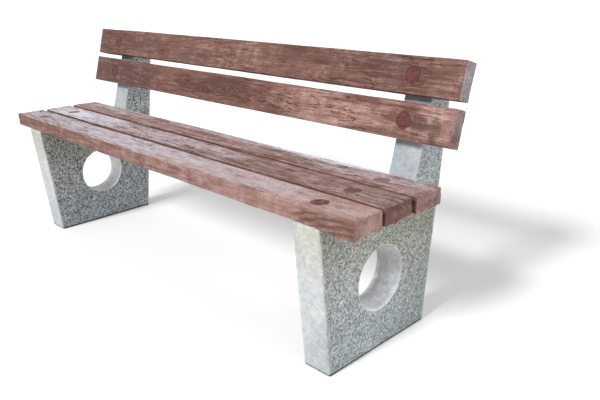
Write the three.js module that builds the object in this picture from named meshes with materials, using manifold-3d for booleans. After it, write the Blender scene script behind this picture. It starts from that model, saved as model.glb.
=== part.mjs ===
// A garden bench of precast concrete. Two side frames of washed (exposed-aggregate) concrete, each a
// leg and a backrest post cast in one piece, carry three seat planks and two back planks, cast and
// pigmented to look like hewn timber. A hexagon bolt and a washer hold each plank to a threaded socket
// cast into each frame, and a plug of dark mortar fills the pocket over every bolt head. Steel bars
// inside the planks and frames carry the tension that concrete can't.
//
// Millimetres, +Z up. X runs along the bench, +Y to the back. The origin is on the ground, in the middle
// of the bench's length and depth. It imports only three and manifold-3d, and exports a THREE.Group.

import * as THREE from "three";
import { mergeVertices } from "three/addons/utils/BufferGeometryUtils.js";
import Module from "manifold-3d";

// ---------------------------------------------------------------- driving dimensions
const clearance = 0.3; // between neighbours that touch

// planks
const plankLength = 1800;
const plankWidth = 102;
const plankThickness = 46;
const plankOverhang = 102.5; // past a frame's outer face, at each end
const seatPlankCount = 3;
const backPlankCount = 2;
const seatGap = 18; // between seat planks
const backGap = 20; // between back planks
const arris = 6; // mean size of a long edge's bevel
const hewnDepth = 3; // how far that bevel wanders, as if cut with an axe
const hewnSteps = 18; // stations along a plank's length
const endBevel = 4;

// side frames
const frameThickness = 90;
const legHeight = 422; // ground to the seat's underside
const frontSetback = 2; // front plank behind the leg's top front corner
const frontLean = 5; // degrees, the leg's front edge, out towards the top
const seatToPost = 24; // rear plank to the post
const postLean = 16.6; // degrees, the face that carries the back planks
const postDepthAtSeat = 133; // horizontal
const postDepthAtTop = 75;
const backrestRise = 136; // seat's underside to the lower back plank, along the post
const postShortfall = 12; // post top below the upper plank's top edge, along the post
const holeRadius = 90;
const holeHeight = 207; // ground to the round hole's centre
const frameBevel = 4; // on every outer edge
const roundSegments = 48;

// fixings
const boltRadius = 6;
const headWidthShare = 3; // head across flats, as a multiple of the bolt's radius
const headHeight = 7.5;
const boltReach = 38; // of the shank inside the socket
const washerPlay = 0.6; // round the shank, in the washer
const washerRim = 12; // washer's hole to its outside
const washerThickness = 3;
const boltPlay = 1; // round the shank, in the plank
const pocketPlay = 5; // round the washer, for the spanner and the mortar
const headRoom = 13; // plank's face to the top of the head
const plugRecess = 0.4; // plug's face below the plank's face
const socketWall = 4;
const socketSpare = 14; // thread past the bolt's tip
const socketFloor = 6;
const socketFootRim = 3;
const socketFootHeight = 5;
const fixingSegments = 20;

// reinforcement
const plankBarRadius = 3;
const plankBarSideCover = 23; // plank's edge to bar centre
const plankBarDrop = 9; // bar centre below the pocket's floor
const plankBarCover = 26; // at the plank's ends
const linkRadius = 2;
const plankLinkCount = 6;
const cageBarRadius = 4;
const cageSideCover = 20; // frame's flat face to a bar loop's centre
const cageCover = 26; // outline to bar centre
const tieHoleRadius = 5; // opens a bar's channel to a hidden face
const barSegments = 6;

// ---------------------------------------------------------------- derived sizes
const tan = (degrees) => Math.tan(THREE.MathUtils.degToRad(degrees));
const frameX = plankLength / 2 - plankOverhang - frameThickness / 2;
const seatDepth = seatPlankCount * plankWidth + (seatPlankCount - 1) * seatGap;
const backRun = backPlankCount * plankWidth + (backPlankCount - 1) * backGap;
const postLeanRadians = THREE.MathUtils.degToRad(postLean);
const washerHoleRadius = boltRadius + washerPlay;
const washerRadius = washerHoleRadius + washerRim;
const boltHoleRadius = boltRadius + boltPlay;
const pocketRadius = washerRadius + pocketPlay;
const pocketDepth = headRoom + headHeight + washerThickness + 2 * clearance;
const headRadius = (headWidthShare * boltRadius) / Math.sqrt(3); // over the head's corners
const socketRadius = boltRadius + socketWall;
const socketLength = boltReach + socketSpare + socketFloor;
const socketFootRadius = socketRadius + socketFootRim;
const plankBarSpread = plankWidth - 2 * plankBarSideCover;
const plankBarHeight = plankThickness - pocketDepth - plankBarDrop;
const cageSpread = frameThickness - 2 * cageSideCover;

// ---------------------------------------------------------------- materials
const finish = (color, roughness, metalness = 0) =>
  new THREE.MeshStandardMaterial({ color, roughness, metalness });
const materials = {
  washedConcrete: finish(0x8f918c, 0.95),
  plankConcrete: finish(0x8f6a60, 0.85),
  plugMortar: finish(0x6f3a3b, 0.8),
  zincSteel: finish(0xb4b8bb, 0.4, 0.9),
  barSteel: finish(0x6b5a50, 0.7, 0.6),
};

// ---------------------------------------------------------------- solids
const wasm = await Module();
wasm.setup();

// A closed three.js geometry as a manifold-3d solid.
function solid(geometry) {
  const bare = geometry.index ? geometry.toNonIndexed() : geometry.clone();
  bare.deleteAttribute("normal");
  bare.deleteAttribute("uv");
  const merged = mergeVertices(bare, 1e-3);
  return new wasm.Manifold(
    new wasm.Mesh({
      numProp: 3,
      vertProperties: new Float32Array(merged.attributes.position.array),
      triVerts: new Uint32Array(merged.index.array),
    }),
  );
}

// A manifold-3d solid as a named three.js mesh.
function meshOf(made, name, material) {
  const { numProp, numVert, vertProperties, triVerts } = made.getMesh();
  const positions = new Float32Array(numVert * 3);
  for (let i = 0; i < numVert; i++) {
    positions.set(vertProperties.subarray(i * numProp, i * numProp + 3), i * 3);
  }
  const geometry = new THREE.BufferGeometry();
  geometry.setAttribute("position", new THREE.BufferAttribute(positions, 3));
  geometry.setIndex(new THREE.BufferAttribute(new Uint32Array(triVerts), 1));
  geometry.computeVertexNormals();
  const mesh = new THREE.Mesh(geometry, material);
  mesh.name = name;
  return mesh;
}

// An upright cylinder or prism from height low to height high.
function upright(radius, low, high, segments = fixingSegments) {
  const geometry = new THREE.CylinderGeometry(radius, radius, high - low, segments);
  geometry.rotateX(Math.PI / 2);
  geometry.translate(0, 0, (low + high) / 2);
  return solid(geometry);
}

// A round bar between two points, with domed ends so that bars join at their corners.
function bar(from, to, radius) {
  const along = new THREE.Vector3().subVectors(to, from);
  const middle = new THREE.Vector3().addVectors(from, to).multiplyScalar(0.5);
  const geometry = new THREE.CapsuleGeometry(radius, along.length(), 1, barSegments);
  const turn = new THREE.Quaternion().setFromUnitVectors(
    new THREE.Vector3(0, 1, 0),
    along.normalize(),
  );
  geometry.applyQuaternion(turn);
  geometry.translate(middle.x, middle.y, middle.z);
  return solid(geometry);
}

const joined = (solids) => solids.reduce((whole, next) => whole.add(next));
const placed = (made, matrix) => made.transform(matrix.elements.slice());

// ---------------------------------------------------------------- where the planks lie
// In a plank's own frame X is its length, Y its width and Z its thickness, with the underside at Z 0.
// Each place is the matrix from that frame to the bench's.
const seatFront = -seatDepth / 2;
const postFootY = seatFront + seatDepth + seatToPost;

function seatPlace(index) {
  const y = seatFront + plankWidth / 2 + index * (plankWidth + seatGap);
  return new THREE.Matrix4().makeTranslation(0, y, legHeight + clearance);
}

function backPlace(index) {
  const rise = backrestRise + plankWidth / 2 + index * (plankWidth + backGap);
  return new THREE.Matrix4()
    .makeTranslation(0, postFootY, legHeight)
    .multiply(new THREE.Matrix4().makeRotationX(Math.PI / 2 - postLeanRadians))
    .multiply(new THREE.Matrix4().makeTranslation(0, rise, clearance));
}

const seatNames = ["front", "middle", "rear"];
const backNames = ["lower", "upper"];
const planks = [];
for (let i = 0; i < seatPlankCount; i++) {
  planks.push({ name: `seat_plank_${seatNames[i] ?? i}`, place: seatPlace(i) });
}
for (let i = 0; i < backPlankCount; i++) {
  planks.push({ name: `back_plank_${backNames[i] ?? i}`, place: backPlace(i) });
}

// ---------------------------------------------------------------- planks
// One long edge's bevel wanders along the plank: two slow waves, out of step on every edge.
function hewn(x, edge) {
  const slow = Math.sin(x / 137 + 1.7 * edge);
  const quick = Math.sin(x / 59 + 4.1 * edge);
  return (hewnDepth * (slow + quick)) / 2;
}

// The plank's blank: an eight-cornered section along X, with bevelled ends. The corners slide within
// their own faces, so the four long faces stay flat.
function plankBlank(seed) {
  const half = plankWidth / 2;
  const section = new THREE.Shape([
    new THREE.Vector2(half - arris, 0),
    new THREE.Vector2(half, arris),
    new THREE.Vector2(half, plankThickness - arris),
    new THREE.Vector2(half - arris, plankThickness),
    new THREE.Vector2(arris - half, plankThickness),
    new THREE.Vector2(-half, plankThickness - arris),
    new THREE.Vector2(-half, arris),
    new THREE.Vector2(arris - half, 0),
  ]);
  const geometry = new THREE.ExtrudeGeometry(section, {
    depth: plankLength - 2 * endBevel,
    steps: hewnSteps,
    bevelThickness: endBevel,
    bevelSize: endBevel,
    bevelOffset: -endBevel,
    bevelSegments: 1,
  });
  const lengthwise = new THREE.Matrix4().makeBasis(
    new THREE.Vector3(0, 1, 0),
    new THREE.Vector3(0, 0, 1),
    new THREE.Vector3(1, 0, 0),
  );
  geometry.translate(0, 0, -(plankLength - 2 * endBevel) / 2);
  geometry.applyMatrix4(lengthwise);
  const position = geometry.attributes.position;
  const onFace = (value, face) => Math.abs(value - face) < 1e-3;
  for (let i = 0; i < position.count; i++) {
    const [x, y, z] = [position.getX(i), position.getY(i), position.getZ(i)];
    const edge = seed * 4 + (y > 0 ? 1 : 0) + (z > plankThickness / 2 ? 2 : 0);
    const slide = hewn(x, edge);
    if (onFace(Math.abs(y), half)) {
      position.setZ(i, z + (z > plankThickness / 2 ? -slide : slide));
    } else if (onFace(z, 0) || onFace(z, plankThickness)) {
      position.setY(i, y - Math.sign(y) * slide);
    }
  }
  return solid(geometry);
}

// The welded ladder of bars in a plank, thicker by the allowance when it cuts its own channel.
function plankLadder(allowance = 0) {
  const reach = plankLength / 2 - plankBarCover;
  const side = plankBarSpread / 2;
  const at = (x, y) => new THREE.Vector3(x, y, plankBarHeight);
  const bars = [-side, side].map((y) =>
    bar(at(-reach, y), at(reach, y), plankBarRadius + allowance),
  );
  for (let i = 0; i < plankLinkCount; i++) {
    const x = linkX(i);
    bars.push(bar(at(x, -side), at(x, side), linkRadius + allowance));
  }
  return joined(bars);
}

// The ladder's rungs stand evenly along the plank and stop short of the bolt holes.
function linkX(index) {
  const reach = frameX - pocketRadius - linkRadius - plankBarRadius;
  return THREE.MathUtils.lerp(-reach, reach, index / (plankLinkCount - 1));
}

function plank(seed) {
  let made = plankBlank(seed).subtract(plankLadder(clearance));
  for (const x of [-frameX, frameX]) {
    const pocket = upright(
      pocketRadius,
      plankThickness - pocketDepth,
      plankThickness + clearance,
      roundSegments / 2,
    );
    const boltHole = upright(boltHoleRadius, -clearance, plankThickness);
    made = made.subtract(pocket.add(boltHole).translate(x, 0, 0));
  }
  // The bar channel opens on the underside, under a rung at each end.
  for (const index of [0, plankLinkCount - 1]) {
    const tieHole = upright(tieHoleRadius, -clearance, plankBarHeight, barSegments);
    made = made.subtract(tieHole.translate(linkX(index), 0, 0));
  }
  return made;
}

// ---------------------------------------------------------------- fixings
// In a plank's frame, on the bolt's axis. The washer lies on the pocket's floor.
const washerLow = plankThickness - pocketDepth + clearance;
const headLow = washerLow + washerThickness + clearance;

function bolt() {
  const head = upright(headRadius, headLow, headLow + headHeight, 6);
  return head.add(upright(boltRadius, -boltReach, headLow + headHeight / 2));
}

function washer() {
  const disc = upright(washerRadius, washerLow, washerLow + washerThickness);
  return disc.subtract(upright(washerHoleRadius, washerLow - 1, headLow));
}

// Mortar that fills the pocket over the washer and round the bolt head.
function plug() {
  const low = washerLow + washerThickness + clearance;
  const round = roundSegments / 2;
  const fill = upright(pocketRadius - clearance, low, plankThickness - plugRecess, round);
  const headSpace = upright(
    headRadius + 2 * clearance,
    low - 1,
    headLow + headHeight + clearance,
    6,
  );
  return fill.subtract(headSpace);
}

// A threaded socket with a wider foot that anchors it, thicker by the allowance when it cuts its seat.
function socketBody(allowance = 0) {
  const top = allowance ? clearance : -clearance;
  const foot = upright(
    socketFootRadius + allowance,
    -socketLength - allowance,
    -socketLength + socketFootHeight + allowance,
  );
  return upright(socketRadius + allowance, -socketLength, top).add(foot);
}

function socket() {
  const thread = upright(boltRadius + clearance, -socketLength + socketFloor, 1);
  return socketBody().subtract(thread);
}

// ---------------------------------------------------------------- side frames
// The outline in the YZ plane, from the base's front corner, along the base and up the back.
const postHeight = (backrestRise + backRun - postShortfall) * Math.cos(postLeanRadians);
const postTopZ = legHeight + postHeight;
const postTopY = postFootY + postHeight * Math.tan(postLeanRadians);
const legTopFront = seatFront - frontSetback;
const backSlope =
  (postTopY + postDepthAtTop - postFootY - postDepthAtSeat) / postHeight;
const backY = (z) => postFootY + postDepthAtSeat + backSlope * (z - legHeight);
const baseFront = legTopFront + legHeight * tan(frontLean);
const outline = [
  new THREE.Vector2(baseFront, 0),
  new THREE.Vector2(backY(0), 0),
  new THREE.Vector2(backY(postTopZ), postTopZ),
  new THREE.Vector2(postTopY, postTopZ),
  new THREE.Vector2(postFootY, legHeight),
  new THREE.Vector2(legTopFront, legHeight),
];
const holeY = (baseFront + backY(0)) / 2;

// Every outer corner cut off by the bevel's size. The inner corner, seat to post, stays sharp.
function trimmed(points, cut) {
  return points.flatMap((corner, i) => {
    const before = points[(i + points.length - 1) % points.length];
    const after = points[(i + 1) % points.length];
    const back = new THREE.Vector2().subVectors(before, corner).setLength(cut);
    const onward = new THREE.Vector2().subVectors(after, corner).setLength(cut);
    const isOuter = back.cross(onward) < 0;
    return isOuter ? [back.add(corner), onward.add(corner)] : [corner];
  });
}

// The outline moved inwards by a distance, corner by corner.
function inset(points, distance) {
  return points.map((corner, i) => {
    const before = points[(i + points.length - 1) % points.length];
    const after = points[(i + 1) % points.length];
    const inward = (from, to) => {
      const run = new THREE.Vector2().subVectors(to, from).normalize();
      return new THREE.Vector2(-run.y, run.x);
    };
    const [a, b] = [inward(before, corner), inward(corner, after)];
    const mitre = new THREE.Vector2().addVectors(a, b);
    return mitre.multiplyScalar(distance / (1 + a.dot(b))).add(corner);
  });
}

// Two loops of bar inside the outline, tied across at the leg's corners. The post has no tie, because
// its sockets lie between the loops there.
function cage(allowance = 0) {
  const corners = inset(outline, cageCover);
  const side = cageSpread / 2;
  const bars = [];
  corners.forEach((corner, i) => {
    const next = corners[(i + 1) % corners.length];
    for (const x of [-side, side]) {
      const from = new THREE.Vector3(x, corner.x, corner.y);
      const to = new THREE.Vector3(x, next.x, next.y);
      bars.push(bar(from, to, cageBarRadius + allowance));
    }
    if (corner.y < legHeight) {
      const left = new THREE.Vector3(-side, corner.x, corner.y);
      const right = new THREE.Vector3(side, corner.x, corner.y);
      bars.push(bar(left, right, linkRadius + allowance));
    }
  });
  return joined(bars);
}

function sideFrame() {
  const shape = new THREE.Shape(trimmed(outline, frameBevel));
  const hole = new THREE.Path();
  hole.absarc(holeY, holeHeight, holeRadius, 0, 2 * Math.PI, true);
  shape.holes.push(hole);
  const geometry = new THREE.ExtrudeGeometry(shape, {
    depth: frameThickness - 2 * frameBevel,
    curveSegments: roundSegments,
    bevelThickness: frameBevel,
    bevelSize: frameBevel,
    bevelOffset: -frameBevel,
    bevelSegments: 1,
  });
  geometry.translate(0, 0, frameBevel - frameThickness / 2);
  geometry.applyMatrix4(
    new THREE.Matrix4().makeBasis(
      new THREE.Vector3(0, 1, 0),
      new THREE.Vector3(0, 0, 1),
      new THREE.Vector3(1, 0, 0),
    ),
  );
  let made = solid(geometry);
  for (const { place } of planks) {
    made = made.subtract(placed(socketBody(clearance), place));
  }
  made = made.subtract(cage(clearance));
  // The cage's channel opens under the base, below a bar of each loop.
  for (const x of [-cageSpread / 2, cageSpread / 2]) {
    const tieHole = upright(tieHoleRadius, -clearance, cageCover, barSegments);
    made = made.subtract(tieHole.translate(x, holeY, 0));
  }
  return made;
}

// ---------------------------------------------------------------- the bench
const bench = new THREE.Group();
const sides = [
  { side: "left", x: -frameX },
  { side: "right", x: frameX },
];

for (const { side, x } of sides) {
  const frame = meshOf(sideFrame(), `side_frame_${side}`, materials.washedConcrete);
  const bars = meshOf(cage(), `side_frame_${side}_bar_cage`, materials.barSteel);
  for (const mesh of [frame, bars]) {
    mesh.position.x = x;
    bench.add(mesh);
  }
}

planks.forEach(({ name, place }, index) => {
  const group = new THREE.Group();
  group.applyMatrix4(place);
  group.add(meshOf(plank(index), name, materials.plankConcrete));
  group.add(meshOf(plankLadder(), `${name}_bars`, materials.barSteel));
  for (const { side, x } of sides) {
    const pieces = [
      meshOf(plug(), `${name}_plug_${side}`, materials.plugMortar),
      meshOf(bolt(), `${name}_bolt_${side}`, materials.zincSteel),
      meshOf(washer(), `${name}_washer_${side}`, materials.zincSteel),
      meshOf(socket(), `${name}_socket_${side}`, materials.zincSteel),
    ];
    for (const mesh of pieces) {
      mesh.position.x = x;
      group.add(mesh);
    }
  }
  bench.add(group);
});

// The origin goes to the middle of the bench's depth.
bench.updateMatrixWorld(true);
const box = new THREE.Box3().setFromObject(bench, true);
bench.position.y = -(box.min.y + box.max.y) / 2;

export default bench;
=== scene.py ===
# %% [markdown]
# # A garden bench of precast concrete
#
# Two side frames of washed concrete carry five planks that are cast in concrete too, pigmented brown and
# textured like hewn timber. The imported CAD model gives every place and size. This lesson builds the
# surfaces that the eye meets: chipped arrises, grain, salt bloom and stains on the planks, pebbles and
# smooth cement on the frames, and scratched mortar plugs over the bolts.
#
# We first load the frame and keep its box.

# %% Load the imported model
import functools
import itertools
import math

import bpy
import numpy as np
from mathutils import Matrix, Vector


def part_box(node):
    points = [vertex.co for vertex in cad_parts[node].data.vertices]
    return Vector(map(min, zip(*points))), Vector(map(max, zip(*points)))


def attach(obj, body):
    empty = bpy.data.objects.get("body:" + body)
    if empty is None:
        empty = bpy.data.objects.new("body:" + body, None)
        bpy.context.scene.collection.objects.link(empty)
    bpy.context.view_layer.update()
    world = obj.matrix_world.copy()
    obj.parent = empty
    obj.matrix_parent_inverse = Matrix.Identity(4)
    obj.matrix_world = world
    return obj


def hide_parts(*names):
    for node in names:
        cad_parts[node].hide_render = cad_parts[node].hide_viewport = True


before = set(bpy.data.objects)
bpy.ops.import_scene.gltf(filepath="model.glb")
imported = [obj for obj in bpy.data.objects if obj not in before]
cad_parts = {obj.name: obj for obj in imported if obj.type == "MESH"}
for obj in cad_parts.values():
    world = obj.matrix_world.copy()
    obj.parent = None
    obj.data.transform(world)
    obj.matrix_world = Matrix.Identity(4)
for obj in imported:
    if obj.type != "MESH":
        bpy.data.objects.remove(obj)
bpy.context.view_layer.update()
MM = 0.001

# %% [markdown]
# ## Camera
#
# The bench is seen from its right front, a little above the seat. A moderate lens keeps the near leg
# large and lets the far end shrink.

# %% Camera
CAMERA_PLACE = (1.7458, -1.2685, 0.982)
CAMERA_TURN = (70.612, 0.869, 45.025)
LENS = 38.19

camera_data = bpy.data.cameras.new("bench_camera")
camera_data.sensor_width = 36
camera_data.lens = LENS
camera = bpy.data.objects.new("bench_camera", camera_data)
camera.location = CAMERA_PLACE
camera.rotation_euler = [math.radians(angle) for angle in CAMERA_TURN]
scene = bpy.context.scene
scene.collection.objects.link(camera)
scene.camera = camera
scene.view_settings.view_transform = "Standard"

# %% [markdown]
# ## Helpers for materials
#
# Colours are written as sRGB hex values, as in a paint chart, and turned to the linear values that
# Blender's light works with. One function adds any node. It passes on what it is given to the node's
# settings and inputs, and gives back the node's output. So a material reads like a sum: a noise goes into
# a range, the range into a mix of two colours, and the mix into the shader. A noise's scale is the number
# of its marks in a metre: 22 gives clouds 45 mm wide, and 420 gives specks of 2.4 mm.


# %% Colour and node helpers
def linear(hex_colour):
    """sRGB to linear: c / 12.92 for the darkest values, else ((c + 0.055) / 1.055) to the power 2.4."""
    srgb = [int(hex_colour[i : i + 2], 16) / 255 for i in (1, 3, 5)]
    return (*[c / 12.92 if c <= 0.04045 else ((c + 0.055) / 1.055) ** 2.4 for c in srgb], 1.0)


def palette(**colours):
    """Named colours, written as sRGB hex and kept as linear values."""
    return {name: linear(colour) for name, colour in colours.items()}


WHITE = linear("#ffffff")
# Settings of a Mix node: one colour laid over another, or a colour seen through a tint.
OVER = {"data_type": "RGBA"}
THROUGH = {"data_type": "RGBA", "blend_type": "MULTIPLY"}


def add_node(tree, kind, *values, **named):
    """Adds one node and returns its first output in use. Values go to the inputs in use, in their order,
    and a named value is a setting or an input. A value is a number, a colour or another node's output."""
    node = tree.nodes.new("ShaderNode" + kind)
    for name in [name for name in named if hasattr(node, name)]:
        setattr(node, name, named.pop(name))
    in_use = [socket for socket in node.inputs if socket.enabled]
    by_name = [(node.inputs[name], value) for name, value in named.items()]
    for socket, value in [*zip(in_use, values), *by_name]:
        if isinstance(value, bpy.types.NodeSocket):
            tree.links.new(value, socket)
        else:
            socket.default_value = value
    return next(socket for socket in node.outputs if socket.enabled)


def new_material(name, **uniform):
    """A Principled material with uniform values: returns the material, its tree and its shader node."""
    material = bpy.data.materials.new(name)
    material.use_nodes = True
    tree = material.node_tree
    shader = tree.nodes["Principled BSDF"]
    for key, value in uniform.items():
        shader.inputs[key.replace("_", " ")].default_value = value
    print("material", name)
    return material, tree, shader


# %% [markdown]
# ## Helpers for shapes
#
# Every surface here is worked out with numpy as whole arrays. Cast concrete is never quite flat, so we
# need noise that gives the same result on each run. Value noise puts a fixed random number on each point
# of a lattice and blends smoothly between them. A lattice cell may be long one way, which turns the noise
# into grain.


# %% Noise
def lattice_number(i, j, k, seed):
    """A fixed number from 0 to 1 for each whole-number point, made by mixing its bits."""
    n = i * 374761393 + j * 668265263 + k * 1440662683 + seed * 1274126177
    n = (n ^ (n >> 13)) * 1103515245 & 0x7FFFFFFF
    n = (n ^ (n >> 15)) * 668265263 & 0x7FFFFFFF
    return ((n ^ (n >> 13)) & 0xFFFF) / 65535.0


def value_noise(points, cell, seed):
    """Lattice numbers blended along each axis with the smooth step 3t^2 - 2t^3; cell is one cell's size in
    metres along the three axes."""
    scaled = points / np.asarray(cell)
    base = np.floor(scaled).astype(np.int64)
    t = scaled - base
    t = t * t * (3 - 2 * t)
    total = np.zeros(len(points))
    for corner in itertools.product((0, 1), repeat=3):
        weight = np.prod(np.where(corner, t, 1 - t), axis=1)
        total += weight * lattice_number(*(base + corner).T, seed)
    return total


def layered_noise(points, cell, seed, layers=3):
    """A sum of value noises, each half as large and half as strong as the one before, from 0 to 1."""
    cell = np.asarray(cell, float)
    strengths = 0.5 ** np.arange(layers)
    total = sum(
        s * value_noise(points, cell * s, seed + 17 * n) for n, s in enumerate(strengths)
    )
    return total / strengths.sum()


def ease(low, high, value):
    """0 below low, 1 above high and 3t^2 - 2t^3 between them."""
    t = np.clip((value - low) / (high - low), 0, 1)
    return t * t * (3 - 2 * t)


# %% [markdown]
# Meshes are made from an array of points and an array of four-sided faces. A piece may also carry values
# of its own at each point, such as where the grain runs or how weathered it is, for its material to read.


# %% Mesh helpers
def make_piece(name, points, quads, material, vectors=None, colours=None):
    """A mesh object from points (n, 3) and quads (m, 4), smooth shaded, with named point values."""
    mesh = bpy.data.meshes.new(name)
    mesh.vertices.add(len(points))
    mesh.vertices.foreach_set("co", np.ascontiguousarray(points, np.float32).ravel())
    mesh.loops.add(quads.size)
    mesh.loops.foreach_set("vertex_index", quads.astype(np.int32).ravel())
    mesh.polygons.add(len(quads))
    mesh.polygons.foreach_set("loop_start", np.arange(0, quads.size, 4, dtype=np.int32))
    mesh.update(calc_edges=True)
    mesh.shade_smooth()
    for key, data in (vectors or {}).items():
        layer = mesh.attributes.new(key, "FLOAT_VECTOR", "POINT")
        layer.data.foreach_set("vector", data.astype(np.float32).ravel())
    for key, data in (colours or {}).items():
        layer = mesh.attributes.new(key, "FLOAT_COLOR", "POINT")
        layer.data.foreach_set("color", data.astype(np.float32).ravel())
    mesh.materials.append(material)
    piece = bpy.data.objects.new(name, mesh)
    scene.collection.objects.link(piece)
    print(f"{name}: {len(points)} points, {len(quads)} faces")
    return piece


def grid_quads(rows, columns, closed=False):
    """Faces of a grid of points numbered row by row; closed joins the last column to the first."""
    i, j = np.meshgrid(np.arange(rows - 1), np.arange(columns - (not closed)), indexing="ij")
    after = (j + 1) % columns
    return np.stack(
        [i * columns + j, (i + 1) * columns + j, (i + 1) * columns + after, i * columns + after], -1
    ).reshape(-1, 4)


def box_skin(xs, ys, zs):
    """The skin of a block cut into a lattice at xs, ys, zs. A lattice point is kept if it lies on any side,
    and is numbered once, so the six sides are one welded sheet. Returns points and outward quads."""
    counts = (len(xs), len(ys), len(zs))
    numbers = np.arange(np.prod(counts)).reshape(counts)
    quads = []
    for axis in range(3):
        for end in (0, -1):
            side = np.take(numbers, end, axis=axis)
            side = side.T if axis == 1 else side
            cells = np.stack([side[:-1, :-1], side[1:, :-1], side[1:, 1:], side[:-1, 1:]], -1)
            quads.append((cells if end else cells[..., ::-1]).reshape(-1, 4))
    kept, quads = np.unique(np.concatenate(quads), return_inverse=True)
    i, j, k = np.unravel_index(kept, counts)
    return np.stack([xs[i], ys[j], zs[k]], 1), quads.reshape(-1, 4)


# %% [markdown]
# ## Planks: where they lie
#
# A plank has its own directions: along its length, across its width and through its thickness. A seat
# plank lies flat. The back planks lean, and the line from the lower one's middle to the upper one's gives
# the lean.

# %% Plank places
seat_low, seat_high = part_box("seat_plank_front")
PLANK_SIZE = np.array(seat_high - seat_low)
LENGTH, WIDTH, THICKNESS = PLANK_SIZE


def middle_of(node):
    low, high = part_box(node)
    return np.array((low + high) / 2)


climb = middle_of("back_plank_upper") - middle_of("back_plank_lower")
LEAN = math.atan2(climb[1], climb[2])
SEAT_TURN = np.eye(3)
BACK_TURN = np.array(
    [
        [1, 0, 0],
        [0, math.sin(LEAN), math.cos(LEAN)],
        [0, -math.cos(LEAN), math.sin(LEAN)],
    ]
)
BOLT_X = middle_of("seat_plank_front_bolt_right")[0]
PLUG_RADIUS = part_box("seat_plank_front_plug_right")[1][0] - BOLT_X
print(f"plank {LENGTH:.3f} x {WIDTH:.3f} x {THICKNESS:.3f}, lean {math.degrees(LEAN):.1f} degrees")

# %% [markdown]
# ## Planks: the cast surface
#
# The mould was taken from hewn planks, so the arrises wander, the faces carry raised grain and the ends
# are rough where the mix didn't fill the corners. The plank starts as a block cut into a lattice, finer
# near its edges. Each point moves to a rounded block: it is clamped into a smaller inner block, and the
# step from there to the point is brought to the arris radius. The relief is then added along that step.


# %% Plank lattice
FINE_EDGE = np.array((0, 0.8, 1.8, 3, 4.4, 6)) * MM
POCKET_ROOM = 28 * MM


def spaced(length, step, stops=()):
    """Lattice lines from -length/2 to length/2. They crowd in the outer 6 mm, and between the stops, which
    are (place, step) pairs, each stretch is shared out evenly at its own step."""
    inner = length / 2 - FINE_EDGE[-1]
    places = [-inner, *[place for place, _ in stops], inner]
    steps = [step, *[own for _, own in stops]]
    middle = [
        np.linspace(start, end, max(1, round((end - start) / own)) + 1)[:-1]
        for start, end, own in zip(places, places[1:], steps)
    ]
    return np.concatenate([FINE_EDGE[:-1] - length / 2, *middle, (length / 2 - FINE_EDGE)[::-1]])


ALONG_LINES = spaced(
    LENGTH,
    4.2 * MM,
    [
        (-BOLT_X - POCKET_ROOM, 2 * MM),
        (-BOLT_X + POCKET_ROOM, 4.2 * MM),
        (BOLT_X - POCKET_ROOM, 2 * MM),
        (BOLT_X + POCKET_ROOM, 4.2 * MM),
    ],
)
ACROSS_LINES = spaced(WIDTH, 2 * MM)
THROUGH_LINES = spaced(THICKNESS, 2.6 * MM)
print(len(ALONG_LINES), "x", len(ACROSS_LINES), "x", len(THROUGH_LINES), "lattice lines")

# %% [markdown]
# ## Planks: grain, relief and arrises
#
# The grain is drawn in coordinates of its own. They follow the plank, but the lines wander a little and
# part round each knot, as the rings of a trunk do. Noise stretched along these lines gives grooves and
# long splits. The same coordinates are stored on the mesh, so that colour follows relief.


# %% Grain and relief
def grain_lines(place, knots, seed):
    """Grain coordinates (along, across, through): along is kept; across wanders slowly along the plank and
    is pushed by each knot (along, across, radius) by d * r^2 / (d^2 + r^2), so that lines part round it."""
    along, across, through = place.T
    slow = np.stack([along, 0 * along, 0 * along], 1)
    wander = 12 * MM * (layered_noise(slow, (0.45, 1, 1), seed, 2) - 0.5)
    shift = np.zeros(len(place))
    for knot_along, knot_across, radius in knots:
        ahead, aside = (along - knot_along) / 2.6, across - knot_across
        shift -= aside * radius**2 / (ahead**2 + aside**2 + radius**2)
    return np.stack([along, across + wander + shift, through + 0.4 * wander], 1)


def air_pits(place, seed):
    """Pits 3 to 5 mm wide left by air in the mix: in about one of five 17 mm cells there is one."""
    cell = 17 * MM
    scaled = place / cell
    base = np.floor(scaled).astype(np.int64)
    centre = base + 0.25 + 0.5 * np.stack([lattice_number(*base.T, seed + k) for k in range(3)], 1)
    chosen = lattice_number(*base.T, seed + 3)
    size = 0.09 + 0.35 * np.maximum(0.2 - chosen, 0)
    return (chosen < 0.2) * ease(1, 0.4, np.linalg.norm(scaled - centre, axis=1) / size)


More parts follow.
